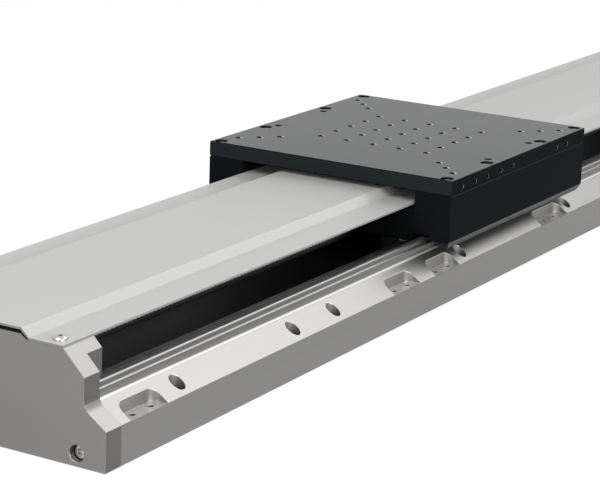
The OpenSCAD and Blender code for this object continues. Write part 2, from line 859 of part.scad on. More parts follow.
// Slide block: feet on the bearing blocks, bridge under the cover, legs beside
// the cover and skirts outside the base's walls
function slide_half() = [[foot_in, block_z], [foot_out, block_z], [foot_out, leg_z],
    [wall_out + wall_gap, leg_z], [wall_out + wall_gap, leg_z - skirt_drop],
    [body_w/2 - 3.2, leg_z - skirt_drop], [body_w/2, leg_z - skirt_drop + 6],
    [body_w/2, leg_top - edge], [body_w/2 - edge, leg_top], [leg_in, leg_top],
    [leg_in, bridge_z + bridge_t]];

module slide_block() {
    low = leg_z - skirt_drop;
    color("dimgray") translate([table_x, 0, 0]) difference() {
        along_x(-table_l/2, table_l/2)
            polygon(concat(both(slide_half()), [[-foot_in, bridge_z], [foot_in, bridge_z]]));
        for (s = [-1, 1]) translate([s*(table_l/2 - skirt_r), 0, low + skirt_r])
            rotate([90, 0, 0]) skirt_corner(s);
        for (x = table_screw_xs, s = [-1, 1]) translate([x, s*table_screw_y, leg_top])
            tapped(m6, table_grip);
        for (side = [-1, 1], e = [-1, 1]) translate([e*block_x, side*rail_y, 0])
            corners(block_screw_x, block_screw_y)
                translate([0, 0, bridge_z + bridge_t - block_screw_seat])
                    cap_hole(m5, bridge_t + foot_rise, block_screw_seat + cut);
        for (x = bracket_screw_xs, s = [-1, 1])
            translate([bracket_x0 + x, s*bracket_screw_y, bridge_z + bridge_t - m6])
                cap_hole(m6, bridge_t, m6 + cut);
    }
}

// What is cut away across the body to round the lower corner of both skirts
module skirt_corner(end) {
    linear_extrude(body_w + 2*cut, center=true) difference() {
        translate([end > 0 ? 0 : -2*skirt_r, -2*skirt_r]) square(2*skirt_r);
        circle(r=skirt_r);
    }
}

module block_screws() {
    color("dimgray") for (side = [-1, 1], e = [-1, 1]) at_block(side, e)
        corners(block_screw_x, block_screw_y)
            translate([0, 0, bridge_z + bridge_t - block_screw_seat])
                cap_screw(m5, bridge_t + foot_rise - block_screw_seat + block_grip);
}

// Nut bracket: a yoke under the bridge, bored for the nut
module nut_bracket() {
    bevel = 12;
    color("gray") translate([table_x + bracket_x0, 0, 0]) difference() {
        along_x(0, bracket_l) polygon(both([[bracket_w/2 - bevel, bracket_foot],
            [bracket_w/2, bracket_foot + bevel], [bracket_w/2, bridge_z]]));
        rod_x(nut_d/2 + fit, -cut, bracket_l + cut);
        for (a = nut_angles) rotate_screw(a) translate([0, nut_pcd/2, 0])
            rotate([0, -90, 0]) tapped(m5, nut_grip);
        for (x = bracket_screw_xs, s = [-1, 1]) translate([x, s*bracket_screw_y, bridge_z])
            tapped(m6, bracket_grip);
    }
}

module bracket_screws() {
    color("dimgray") for (x = bracket_screw_xs, s = [-1, 1])
        translate([table_x + bracket_x0 + x, s*bracket_screw_y, bridge_z + bridge_t - m6])
            cap_screw(m6, bridge_t - m6 + bracket_grip);
}

// Ball nut: flange with two flats, body in the bracket, wipers at both ends
module ball_nut() {
    color("silver") translate([table_x + nut_x0, 0, 0]) difference() {
        union() {
            intersection() {
                rod_x(nut_flange_d/2, 0, nut_flange_t);
                translate([0, -nut_flange_d/2, screw_z - nut_flat/2])
                    cube([nut_flange_t, nut_flange_d, nut_flat]);
            }
            rod_x(nut_d/2, nut_flange_t - 0.1, nut_l);
        }
        rod_x(screw_d/2 + nut_play, -cut, nut_l + cut);
        rod_x(wiper_r, -cut, wiper_l);
        rod_x(wiper_r, nut_l - wiper_l, nut_l + cut);
        for (a = nut_angles) rotate_screw(a) {
            rod_x(clear*m5, -cut, nut_flange_t + cut, nut_pcd/2, 0);
            rod_x(seat*m5, -cut, nut_seat, nut_pcd/2, 0);
        }
    }
}

module nut_wipers() {
    color("white") translate([table_x + nut_x0, 0, 0]) for (x = [0, nut_l - wiper_l]) difference() {
        rod_x(wiper_r - fit, x, x + wiper_l - fit);
        rod_x(screw_d/2 + nut_play, x - cut, x + wiper_l + cut);
    }
}

module nut_screws() {
    color("dimgray") translate([table_x + nut_x0, 0, 0]) for (a = nut_angles) rotate_screw(a)
        translate([nut_seat, nut_pcd/2, 0]) rotate([0, -90, 0])
            cap_screw(m5, nut_flange_t - nut_seat + nut_grip);
}

// -------------------------------------------------------------- table top

// Plate with softened edges all round its upper and lower faces
module table_plate() {
    intersection() {
        along_x(-table_l/2, table_l/2) polygon(both([[body_w/2 - edge, leg_top],
            [body_w/2, leg_top + edge], [body_w/2, table_z - edge], [body_w/2 - edge, table_z]]));
        rotate([90, 0, 0]) linear_extrude(body_w + 2, center=true)
            polygon(both([[table_l/2 - edge, leg_top], [table_l/2, leg_top + edge],
                [table_l/2, table_z - edge], [table_l/2 - edge, table_z]]));
    }
}

module table_top() {
    color("dimgray") translate([table_x, 0, 0]) difference() {
        table_plate();
        for (x = table_screw_xs, s = [-1, 1]) translate([x, s*table_screw_y, table_z - table_seat])
            table_screw_hole();
        for (i = [-2:2], j = [-2:2]) translate([i*grid_pitch, j*grid_pitch, leg_top - cut])
            cylinder(r=core*m6, h=table_t + 2*cut);
        for (k = [0:2], i = [-1, 1], j = [-1, 1]) let (p = corner_first + k*corner_step)
            translate([i*p, j*p, leg_top - cut]) cylinder(r=core*m6, h=table_t + 2*cut);
        corners(dowel_x, table_dowel_y) translate([0, 0, leg_top - cut])
            cylinder(d=dowel_d, h=table_t + 2*cut);
        for (h = side_holes) both_sides()
            translate([h[0], -body_w/2 - cut, leg_top + table_t*0.4]) rotate([-90, 0, 0])
                cylinder(r=core*h[1], h=side_depth + cut);
    }
}

module table_screw_hole() {
    translate([0, 0, -table_t]) cylinder(r=clear*m6, h=table_t + 0.1);
    cylinder(r=0.88*m6, h=table_seat + cut);
}

module table_screws() {
    color("dimgray") translate([table_x, 0, 0]) for (x = table_screw_xs, s = [-1, 1])
        translate([x, s*table_screw_y, table_z - table_seat]) cap_screw(m6, table_t - table_seat + table_grip);
}

// ------------------------------------------------------------- ball screw

module ball_screw() {
    color("silver") difference() {
        union() {
            rod_x(screw_d/2, idle_seat + 1, screw_stop);
            rod_x(idle_bore/2 + 2, idle_seat, idle_seat + 1.1);
            rod_x(idle_bore/2, idle_seat - idle_w - 3, idle_seat + 0.1);
            rod_x(drive_bore/2, screw_stop - 0.1, lock_x + lock_l);
            rod_x(motor_side_r, lock_x + lock_l - 0.1, hub_x + hub_l - 1);
        }
        circlip_groove();
    }
}

// Groove for the circlip that holds the idle bearing's inner ring
module circlip_groove() {
    difference() {
        rod_x(idle_bore/2 + 1, idle_seat - idle_w - clip_t, idle_seat - idle_w);
        rod_x(idle_bore/2 - clip_depth, idle_seat - idle_w - 2, idle_seat - idle_w + 1);
    }
}

module idle_circlip() {
    color("dimgray") difference() {
        rod_x(idle_bore/2 + 2, idle_seat - idle_w - clip_t + fit, idle_seat - idle_w - fit);
        rod_x(idle_bore/2 - clip_depth + fit, idle_seat - idle_w - 2, idle_seat - idle_w + 1);
        translate([idle_seat - idle_w - 2, -1.5, screw_z - 12]) cube([3, 3, 12]);
    }
}

module bearing_spacer() {
    color("lightgray") difference() {
        rod_x(drive_bore/2 + 4, screw_stop, drive_seat);
        rod_x(drive_bore/2 + fit, screw_stop - cut, drive_seat + cut);
    }
}

module lock_nut() {
    color("dimgray") difference() {
        rod_x(lock_d/2, lock_x, lock_x + lock_l);
        rod_x(drive_bore/2 + fit, lock_x - cut, lock_x + lock_l + cut);
        for (a = [0:90:270]) rotate_screw(a)
            translate([lock_x + lock_l - 6, lock_d/2 - 2, -2]) cube([6 + cut, 4, 4]);
    }
}

// --------------------------------------------------------------- coupling

// A sector of a disc along X, spread degrees wide about an angle
module sector(r, x0, x1, angle, spread) {
    intersection() {
        rod_x(r, x0, x1, 0, 0);
        along_x(x0, x1) polygon([[0, 0], 2*r*[cos(angle - spread/2), sin(angle - spread/2)],
            2*r*[cos(angle), sin(angle)], 2*r*[cos(angle + spread/2), sin(angle + spread/2)]]);
    }
}

// Three jaws of a hub, the first one at an angle
module jaws(x0, x1, first) {
    translate([0, 0, screw_z]) for (i = [0:2]) difference() {
        sector(coupling_d/2, x0, x1, first + i*120, jaw_spread);
        rod_x(jaw_r0, x0 - cut, x1 + cut, 0, 0);
    }
}

// A hub with a split clamp: bore, slit and the hole of its clamp screw
module hub(x0, bore_r) {
    mid = x0 + hub_l/2;
    difference() {
        rod_x(coupling_d/2, x0, x0 + hub_l);
        rod_x(bore_r, x0 - cut, x0 + hub_l + cut);
        translate([x0 - cut, -clamp_slit/2, screw_z]) cube([hub_l + 2*cut, clamp_slit, coupling_d]);
        translate([mid, 0, screw_z + clamp_z]) rotate([90, 0, 0]) {
            cylinder(r=core*m3, h=coupling_d, center=true);
            translate([0, 0, clamp_seat]) cylinder(r=seat*m3, h=coupling_d);
        }
    }
}

module screw_coupling_hub() {
    color("silver") {
        hub(hub_x, motor_side_r + fit);
        jaws(spider_x - 0.1, motor_hub_x - jaw_free, 90);
    }
}

module motor_coupling_hub() {
    color("silver") {
        hub(motor_hub_x, motor_bore/2);
        jaws(spider_x + jaw_free, motor_hub_x + 0.1, 30);
    }
}

module coupling_spider() {
    x0 = spider_x + 0.6;
    x1 = motor_hub_x - 0.6;
    color("firebrick") translate([0, 0, screw_z]) difference() {
        union() {
            rod_x(jaw_r0 - 0.2, x0, x1, 0, 0);
            for (i = [0:5]) sector(coupling_d/2 - 0.6, x0, x1, i*60, 22.5);
        }
        rod_x(jaw_r0/2, x0 - cut, x1 + cut, 0, 0);
    }
}

module hub_clamp_screws() {
    color("dimgray") for (x = [hub_x + hub_l/2, motor_hub_x + hub_l/2])
        translate([x, -clamp_seat, screw_z + clamp_z]) rotate([90, 0, 0]) cap_screw(m3, clamp_grip);
}

// ---------------------------------------------------------- motor adapter

// Places across the body of the motor's screws, and of the adapter's own
function square_places(y, z) = [for (i = [-1, 1], j = [-1, 1]) [i*y, screw_z + j*z]];
function motor_places() = square_places(motor_pitch/2, motor_pitch/2);
function adapter_places() = square_places(motor_pitch/2, adapter_screw_rise);

module motor_adapter() {
    x1 = drive_x + adapter_l;
    color("dimgray") difference() {
        along_x(drive_x, x1) translate([0, screw_z]) polygon([
            for (s = [[1, -1], [1, 1], [-1, 1], [-1, -1]], k = [0, 1])
                let (h = adapter_w/2, c = 3, low = (s[0]*s[1] > 0) == (k == 1))
                    [s[0]*(h - (low ? c : 0)), s[1]*(h - (low ? 0 : c))]]);
        rod_x(adapter_r, drive_x - cut, x1 + cut);
        rod_x(pilot_d/2, x1 - pilot_depth, x1 + cut);
        translate([hub_x, -adapter_w, screw_z - window_h/2])
            cube([1.5*hub_l + jaw_l, 2*adapter_w, window_h]);
        for (p = adapter_places()) translate([drive_x, p[0], p[1]])
            rotate([0, -90, 0]) tapped(m4, adapter_grip);
        for (p = motor_places()) rod_x(core*m5, x1 - motor_tap, x1 + cut, p[0], p[1]);
    }
}

module adapter_screws() {
    color("dimgray") for (p = adapter_places()) translate([drive_x - plate_t + m4, p[0], p[1]])
        rotate([0, -90, 0]) cap_screw(m4, plate_t - m4 + adapter_grip);
}

// ------------------------------------------------------------------ nodes

base_extrusion();
idle_end_plate();
drive_end_plate();
top_cover();
cover_screws();
idle_plate_screws();
drive_plate_screws();
left_rail();
right_rail();
left_rail_screws();
right_rail_screws();
idle_bearing_block();
idle_block_screws();
idle_bearing_outer();
idle_bearing_balls();
drive_bearing_housing();
housing_screws();
drive_bearing_outers();
drive_bearing_balls();
bearing_retainer();
retainer_screws();
idle_bumpers();
drive_bumpers();
motor_adapter();
adapter_screws();
ball_screw();
idle_bearing_inner();
idle_circlip();
drive_bearing_inners();
bearing_spacer();
lock_nut();
screw_coupling_hub();
coupling_spider();
motor_coupling_hub();
hub_clamp_screws();
table_top();
table_screws();
slide_block();
nut_bracket();
bracket_screws();
ball_nut();
nut_wipers();
nut_screws();
left_idle_block();
left_drive_block();
right_idle_block();
right_drive_block();
left_idle_block_caps();
left_drive_block_caps();
right_idle_block_caps();
right_drive_block_caps();
left_block_seals();
right_block_seals();
block_screws();
grease_nipples();
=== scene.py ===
import json
import math

import bpy
from mathutils import Matrix, Vector


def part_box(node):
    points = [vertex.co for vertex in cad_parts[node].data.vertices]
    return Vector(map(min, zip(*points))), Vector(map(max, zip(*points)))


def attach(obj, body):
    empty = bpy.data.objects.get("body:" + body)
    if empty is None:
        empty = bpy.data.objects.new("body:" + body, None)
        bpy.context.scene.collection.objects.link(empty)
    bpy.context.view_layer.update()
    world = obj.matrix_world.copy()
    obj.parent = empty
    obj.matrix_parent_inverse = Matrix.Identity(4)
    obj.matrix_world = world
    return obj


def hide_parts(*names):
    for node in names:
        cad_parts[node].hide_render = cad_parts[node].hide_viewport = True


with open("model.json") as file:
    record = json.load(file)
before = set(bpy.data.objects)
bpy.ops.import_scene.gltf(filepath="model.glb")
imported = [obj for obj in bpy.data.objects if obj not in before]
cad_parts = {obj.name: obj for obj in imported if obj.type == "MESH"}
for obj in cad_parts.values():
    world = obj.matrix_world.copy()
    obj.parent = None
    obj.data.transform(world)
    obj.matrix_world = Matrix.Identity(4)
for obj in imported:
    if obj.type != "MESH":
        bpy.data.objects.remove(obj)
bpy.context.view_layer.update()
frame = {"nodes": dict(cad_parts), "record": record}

bl_info = {
    "name": "Ball screw linear module",
    "version": (1, 0, 0),
    "blender": (4, 5, 0),
    "location": "3D View > Sidebar > Module",
    "description": "Finishes a covered ball screw linear module around its frame",
    "category": "Object",
}

# ------------------------------------------------------------------ the frame

RECORD = frame["record"]
BODY_OF = {node: body for body, nodes in RECORD["behaviour"]["bodies"].items() for node in nodes}
SLOT_OF = {part["node"]: part["material_slot"] for part in RECORD["subparts"]}
MOUNTS = {mount["name"]: mount for mount in RECORD["mounts"]}
MM = 0.001
SHARP = math.radians(32)

BASE_LOW, BASE_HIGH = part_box("base_extrusion")
HOUSING_LOW, HOUSING_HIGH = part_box("drive_bearing_housing")
TABLE_LOW, TABLE_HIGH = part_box("table_top")
SLIDE_LOW, SLIDE_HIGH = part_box("slide_block")
COVER_LOW, COVER_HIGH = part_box("top_cover")
RAIL_LOW, RAIL_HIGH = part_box("left_rail")
SCREW_LOW, SCREW_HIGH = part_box("ball_screw")
FLANGE_FACING = 0.82
BARE_METAL = (0.5, 0.5, 0.49)
SHADE_BLACK = (0.0, 0.0, 0.0)
SCREW_Z = (SCREW_LOW.z + SCREW_HIGH.z) / 2
SCREW_RADIUS = (SCREW_HIGH.z - SCREW_LOW.z) / 2


# ------------------------------------------------------------- sizes and colours

def length(name, description, default, low, high):
    """A length property in metres."""
    return bpy.props.FloatProperty(
        name=name, description=description, default=default, min=low, max=high,
        precision=4, unit="LENGTH")


def colour(name, description, default):
    """A colour property."""
    return bpy.props.FloatVectorProperty(
        name=name, description=description, default=default, size=3, min=0.0, max=1.0,
        subtype="COLOR")


class ModuleSizes(bpy.types.PropertyGroup):
    """Sizes of the fine shapes that the frame leaves plain."""

    lead: length("Lead", "Travel of the carriage for one turn of the screw", 5 * MM, 2 * MM, 20 * MM)
    groove: length("Ball groove", "Radius of the screw's ball groove", 1.9 * MM, 0.5 * MM, 3 * MM)
    edge_break: length("Edge break", "Width of the softened edges of machined parts", 0.3 * MM, 0.05 * MM, 1 * MM)
    ledge_drop: length("Ledge drop", "How far the inner edge of the walls' ledge is lowered", 0.4 * MM, 0, 1 * MM)
    ledge_edge: length("Ledge edge", "Width of the broken edge along the walls' ledge", 0.9 * MM, 0, 1 * MM)
    sheet_break: length("Sheet edge", "Width of the softened edges of the cover", 0.25 * MM, 0.05 * MM, 1 * MM)
    sink: length("Countersink", "Width of the countersinks of the table's tapped holes", 0.5 * MM, 0.1 * MM, 1 * MM)
    tap_pitch: length("Tap pitch", "Pitch of the threads in the table's holes", 1 * MM, 0.5 * MM, 2 * MM)
    tap_depth: length("Tap relief", "Height of the thread's ridge in a tapped hole", 0.3 * MM, 0.1 * MM, 0.5 * MM)
    floor_size: length("Floor", "Width of the studio floor", 24.0, 4.0, 60.0)


class ModuleColours(bpy.types.PropertyGroup):
    """Colours of the module's finishes."""

    extrusion: colour("Base", "Clear anodised extrusion", (0.228, 0.226, 0.221))
    plate: colour("Plates", "Clear anodised end plates", (0.23, 0.227, 0.222))
    cover: colour("Cover", "Satin sheet cover", (0.37, 0.3685, 0.362))
    black: colour("Black", "Black anodised carriage", (0.005, 0.0062, 0.0071))
    # The channel colour is painted shade: the inside of the base's channel is dark only because little light
    # reaches it
    channel: colour("Channel", "Dark inside of the base's channel", (0.008, 0.009, 0.009))
    rail: colour("Rails", "Ground steel of rails and screw", (0.42, 0.43, 0.44))
    brass: colour("Brass", "Turned grease nipples", (0.95, 0.66, 0.24))
    floor: colour("Floor", "Pale studio floor", (0.92, 0.92, 0.92))


# --------------------------------------------------------------- shader maths

class Socket:
    """A node's output in a sum: each operator adds its own Math node."""

    def __init__(self, finish, output):
        self.finish = finish
        self.output = output

    def math(self, operation, *values):
        settings = {"operation": operation}
        return self.finish.add("ShaderNodeMath", settings, self, *values)

    def __add__(self, other):
        return self.math("ADD", other)

    def __sub__(self, other):
        return self.math("SUBTRACT", other)

    def __rsub__(self, other):
        return (self * -1.0) + other

    def __mul__(self, other):
        return self.math("MULTIPLY", other)

    def __truediv__(self, other):
        return self.math("DIVIDE", other)

    def __lt__(self, other):
        return self.math("LESS_THAN", other)

    def __gt__(self, other):
        return self.math("GREATER_THAN", other)

    def __abs__(self):
        return self.math("ABSOLUTE")

    __radd__ = __add__
    __rmul__ = __mul__


class Finish:
    """A material with one Principled shader, built node by node."""

    def __init__(self, name, **constants):
        self.material = bpy.data.materials.new(name)
        self.material.use_nodes = True
        self.tree = self.material.node_tree
        self.shader = self.tree.nodes["Principled BSDF"]
        for key, value in constants.items():
            socket = self.shader.inputs[key.replace("_", " ")]
            socket.default_value = (*value, 1.0) if socket.type == "RGBA" else value
        self.coordinates = self.add("ShaderNodeTexCoord", {}, out="Object")
        place = self.add("ShaderNodeSeparateXYZ", {}, self.coordinates)
        self.x, self.y, self.z = (Socket(self, output) for output in place.output.node.outputs)

    def add(self, kind, settings, *values, out=0, **named):
        """One node: its settings first, then the values or links of its sockets."""
        node = self.tree.nodes.new(kind)
        for key, value in settings.items():
            if key == "stops":
                self.set_stops(node.color_ramp, value)
            else:
                setattr(node, key, value)
        for key, value in [*enumerate(values), *named.items()]:
            name = key if isinstance(key, int) else key.replace("_", " ")
            self.feed(node.inputs[name], value)
        return Socket(self, node.outputs[out])

    def feed(self, socket, value):
        """Sets a socket to a value or links it."""
        if isinstance(value, Socket):
            self.tree.links.new(value.output, socket)
        elif socket.type == "RGBA":
            socket.default_value = (*value, 1.0)
        else:
            socket.default_value = value

    def set_stops(self, ramp, stops):
        """A ramp's stops as (place, grey) pairs."""
        while len(ramp.elements) < len(stops):
            ramp.elements.new(1.0)
        for element, (place, grey) in zip(ramp.elements, stops):
            element.position = place
            element.color = (grey, grey, grey, 1.0)

    def stretched(self, x, y, z):
        """Object coordinates scaled along each axis, in cells per metre."""
        return self.add("ShaderNodeMapping", {}, self.coordinates, Scale=(x, y, z))

    def noise(self, x, y, z, detail=3.0, roughness=0.55):
        """Noise from 0 to 1 with the given cells per metre along each axis."""
        return self.add("ShaderNodeTexNoise", {}, self.stretched(x, y, z), Scale=1.0,
                        Detail=detail, Roughness=roughness)

    def step(self, value, low, high):
        """0 below low, 1 above high, smooth between; falls when low is above high."""
        start, end = (0.0, 1.0) if low < high else (1.0, 0.0)
        settings = {"interpolation_type": "SMOOTHSTEP"}
        return self.add("ShaderNodeMapRange", settings, value, min(low, high), max(low, high), start, end)

    def mix(self, factor, first, second):
        """A colour between two colours."""
        node = self.tree.nodes.new("ShaderNodeMix")
        node.data_type = "RGBA"
        for index, value in ((0, factor), (6, first), (7, second)):
            self.feed(node.inputs[index], value)
        return Socket(self, node.outputs[2])

    def facing(self, axis):
        """How far the surface faces along an axis (0, 1 or 2), from -1 to 1."""
        normal = self.add("ShaderNodeNewGeometry", {}, out="Normal")
        return self.add("ShaderNodeSeparateXYZ", {}, normal, out=axis)

    def bump(self, height, distance, strength=1.0):
        """Relief of the surface, distance in metres at a height of 1."""
        return self.add("ShaderNodeBump", {}, Strength=strength, Distance=distance, Height=height)

    def use(self, **sockets):
        """Links sockets of the shader and returns the material."""
        for key, value in sockets.items():
            self.feed(self.shader.inputs[key.replace("_", " ")], value)
        return self.material


# ------------------------------------------------------------------- finishes

def shades(base, *factors):
    """The same colour at several strengths."""
    return [tuple(min(1.0, channel * factor) for channel in base) for factor in factors]


def extrusion_finish(colours):
    """Drawn and anodised aluminium, brighter on its up-facing milled faces as bare metal with painted light;
    painted shade darkens its channel, its walls, its outer sides and its upright milled faces.
    """
    finish = Finish("extrusion_anodised", Specular_IOR_Level=0.3)
    fine = finish.noise(4, 1500, 1500)
    broad = finish.noise(1.5, 90, 90, detail=2.0)
    across = abs(finish.y)
    # Painted shade: inside the walls, above the rails' foot, the surface gets the near-black channel colour
    inside = (across < HOUSING_HIGH.y + 0.3 * MM) * (finish.z > RAIL_LOW.z - 0.1 * MM)
    flange = (across > HOUSING_HIGH.y + 8 * MM) * (across < BASE_HIGH.y - 0.3 * MM)
    up = finish.facing(2)
    milled = flange * (abs(up - FLANGE_FACING) > 0.12)
    # Mask for the painted shade on the walls, darker the more the face turns from up
    wall_shade = (across > HOUSING_HIGH.y + 4 * MM) * (finish.z > RAIL_HIGH.z + 6 * MM) * (up < 0.6)
    side = across > BASE_HIGH.y - 0.3 * MM
    dull, bright, lit_milled = shades(colours.extrusion, 0.88, 1.1, 2.1)
    # Up-facing milled faces get a colour twice as bright: bare milled metal, plus painted light on the faces that
    # look up
    skin = finish.mix(milled * (up > 0.3), finish.mix(fine * 0.5 + broad * 0.5, dull, bright), lit_milled)
    # Painted shade: the outer sides, the walls and the upright milled faces are mixed towards black
    skin = finish.mix(side * 0.06 + wall_shade * (0.34 - up * 0.2) + milled * (abs(up) < 0.2) * 0.1, skin, SHADE_BLACK)
    return finish.use(
        Base_Color=finish.mix(inside, skin, tuple(colours.channel)),
        Metallic=1 - inside - milled * 0.25,
        Roughness=0.34 + fine * 0.08 + broad * 0.05 + inside * 0.2,
        Normal=finish.bump(fine, 0.004 * MM))


def plate_finish(colours):
    """Bead blasted and clear anodised aluminium, with painted shade on its faces turned along Y."""
    finish = Finish("plate_anodised", Metallic=1.0)
    grain = finish.noise(2600, 2600, 2600, detail=2.0)
    cloud = finish.noise(14, 14, 14, detail=2.0)
    dull, bright, painted_face_shading = shades(colours.plate, 0.9, 1.03, 0.55)
    # Painted shade: faces turned along Y get a darker colour
    side = abs(finish.facing(1)) > 0.96
    return finish.use(
        Base_Color=finish.mix(side, finish.mix(cloud, dull, bright), painted_face_shading),
        Roughness=0.38 + grain * 0.1,
        Normal=finish.bump(grain, 0.006 * MM))


def cover_finish(colours):
    """Satin coated sheet with a faint rolling grain; painted shade darkens its sloped strips and, more, its edges
    and every face turned further from up.
    """
    finish = Finish("cover_satin", Specular_IOR_Level=0.3)
    grain = finish.noise(60, 1400, 1400, detail=2.0)
    cloud = finish.noise(3, 9, 9, detail=1.0)
    up = finish.facing(2)
    # Painted shade: faces tilted from up are darker, and those turned further away darker still
    dull, bright, slope_shade, edge = shades(colours.cover, 0.94, 1.0, 0.8, 0.42)
    sheet = finish.mix(up < 0.97, finish.mix(cloud, dull, bright), slope_shade)
    return finish.use(
        Base_Color=finish.mix(up < 0.4, sheet, edge),
        Roughness=0.36 + grain * 0.08,
        Normal=finish.bump(grain, 0.003 * MM))


def black_finish(colours):
    """Black anodised aluminium, silky on its broken edges."""
    finish = Finish("black_anodised", Specular_IOR_Level=0.005, Coat_IOR=1.5, Coat_Roughness=0.25)
    grain, skin = black_skin_and_shade(finish, colours)
    return finish.use(
        Base_Color=skin,
        Roughness=0.4 + grain * 0.1,
        Coat_Weight=(finish.facing(2) < -0.2) * 0.66 + (finish.facing(2) > 0.2) * 0.2,
        Normal=finish.bump(grain, 0.004 * MM))


def table_finish(colours):
    """The same black with a silky face and painted light on its end faces, and bare metal where the holes are
    countersunk, kept on the side of each countersink that faces +Y so that the rest stays dark as painted shade.
    """
    finish = Finish("table_black", Specular_IOR_Level=0.005, Coat_IOR=1.5, Coat_Roughness=0.25)
    grain, skin = black_skin_and_shade(finish, colours)
    margin = Vector((2 * MM, 2 * MM, 0.2 * MM))
    middle = (TABLE_LOW + TABLE_HIGH) / 2
    half = (TABLE_HIGH - TABLE_LOW) / 2 - margin
    face = finish.z > TABLE_HIGH.z - margin.z
    within = (abs(finish.x - middle.x) < half.x) * (abs(finish.y) < half.y)
    tilt = finish.facing(2)
    slant = abs(finish.facing(1))
    beside = (abs(finish.z - middle.z) < half.z - margin.y) * (abs(finish.x - middle.x) < half.x)
    sunk = within * (tilt > 0.5) * (tilt < 0.9)
    # The countersinks are bare metal only on their +Y side, so the glint shows on one side: painted light
    glint = sunk * finish.step(finish.facing(1), -0.3, 0.2) + beside * (slant > 0.3) * (slant < 0.95)
    # Painted light: end faces turned along X get a lighter black
    painted_face_shading = abs(finish.facing(0)) > 0.9
    return finish.use(
        Base_Color=finish.mix(glint, finish.mix(painted_face_shading, skin, shades(colours.black, 2.6)[0]), BARE_METAL),
        Metallic=glint,
        Roughness=0.4 + grain * 0.1,
        Coat_Weight=face * (1 - sunk) * 0.72,
        Normal=finish.bump(grain, 0.004 * MM))


def black_skin_and_shade(finish, colours):
    """The grain and the cloudy colour shared by the black parts, with painted shade on faces turned along Y."""
    grain = finish.noise(2200, 2200, 2200, detail=2.0)
    dull, bright, side = shades(colours.black, 0.8, 1.25, 0.75)
    skin = finish.mix(finish.noise(10, 10, 10, detail=2.0), dull, bright)
    # Painted shade: faces turned along Y get a darker black
    return grain, finish.mix(abs(finish.facing(1)) > 0.9, skin, side)


def steel_finish(name, base, roughness, along=(6, 1800, 1800), metal=1.0):
    """Ground steel, its marks running along X; an oil film makes it less metallic."""
    finish = Finish(name, Metallic=metal)
    marks = finish.noise(*along)
    dull, bright = shades(base, 0.85, 1.1)
    return finish.use(
        Base_Color=finish.mix(marks, dull, bright),
        Roughness=roughness + marks * 0.1,
        Normal=finish.bump(marks, 0.003 * MM))


def screw_finish(colours):
    """Ground steel with painted glints: near-white grooves between crests painted dark, told apart by their radius,
    and painted shade on faces that look down.
    """
    finish = Finish("screw_ground", Metallic=0.15)
    marks = finish.noise(300, 900, 900)
    drop = finish.z - SCREW_Z
    radius = (finish.y * finish.y + drop * drop).math("SQRT")
    crest = finish.step(radius, SCREW_RADIUS - 0.62 * MM, SCREW_RADIUS - 0.22 * MM)
    # Painted shade: faces that look down turn dark
    shade = finish.step(finish.facing(2), 0.0, -0.35)
    # The near-white groove and the dark crest are a painted glint and a painted shadow on one steel
    dark, groove_glint = shades(colours.rail, 0.08, 2.38)
    return finish.use(
        Base_Color=finish.mix(crest * (1 - shade) + shade, groove_glint, dark),
        Roughness=0.28 + marks * 0.12,
        Normal=finish.bump(marks, 0.003 * MM))


def moulded_finish(name, base, roughness):
    """Moulded plastic or rubber with a fine grain."""
    finish = Finish(name)
    grain = finish.noise(1500, 1500, 1500, detail=2.0)
    dull, bright = shades(base, 0.85, 1.15)
    return finish.use(
        Base_Color=finish.mix(grain, dull, bright),
        Roughness=roughness + grain * 0.12,
        Normal=finish.bump(grain, 0.01 * MM))


def make_finishes(colours):
    """One material for each of the record's slots."""
    return {
        "base_aluminium": extrusion_finish(colours),
        "plate_aluminium": plate_finish(colours),
        "cover_sheet": cover_finish(colours),
        "black_aluminium": black_finish(colours),
        "rail_steel": steel_finish("rail_ground", colours.rail, 0.22, metal=0.4),
        "bearing_steel": steel_finish("bearing_polished", (0.6, 0.6, 0.61), 0.12, (400, 400, 400)),
        "stainless": steel_finish("stainless_polished", (0.5, 0.49, 0.475), 0.2, (900, 900, 900)),
        "black_steel": steel_finish("black_oxide", (0.035, 0.034, 0.033), 0.32, (900, 900, 900)),
        "cap_plastic": moulded_finish("cap_moulded", (0.012, 0.013, 0.013), 0.45),
        "seal_rubber": moulded_finish("seal_rubber", (0.01, 0.01, 0.01), 0.6),
        "brass": steel_finish("brass_turned", colours.brass, 0.12, (900, 900, 900), metal=0.1),
        "spider_plastic": moulded_finish("spider_cast", (0.45, 0.03, 0.02), 0.35),
        "wiper_plastic": moulded_finish("wiper_moulded", (0.68, 0.66, 0.6), 0.4),
    }


FINISHES = {}


# ------------------------------------------------------------ modelling helpers

def only(*pieces):
    """Selects these objects alone; the first is active."""
    if bpy.context.mode != "OBJECT":
        bpy.ops.object.mode_set(mode="OBJECT")
    bpy.ops.object.select_all(action="DESELECT")
    for piece in pieces:
        piece.select_set(True)
    bpy.context.view_layer.objects.active = pieces[0]


def editing(piece, kind="VERT"):
    """Opens a piece for editing with nothing selected."""
    only(piece)
    bpy.ops.object.mode_set(mode="EDIT")
    bpy.ops.mesh.select_mode(type=kind)
    bpy.ops.mesh.select_all(action="DESELECT")


def pick(piece, test, kind="vertices"):
    """Selects, in edit mode, the vertices or faces whose place passes a test."""
    bpy.ops.mesh.select_all(action="DESELECT")
    bpy.ops.object.mode_set(mode="OBJECT")
    for item in getattr(piece.data, kind):
        item.select = test(item.co if kind == "vertices" else item.center)
    bpy.ops.object.mode_set(mode="EDIT")


def modify(piece, kind, **settings):
    """Adds a modifier, sets it and applies it."""
    only(piece)
    modifier = piece.modifiers.new(kind.title(), kind)
    for key, value in settings.items():
        setattr(modifier, key, value)
    bpy.ops.object.modifier_apply(modifier=modifier.name)


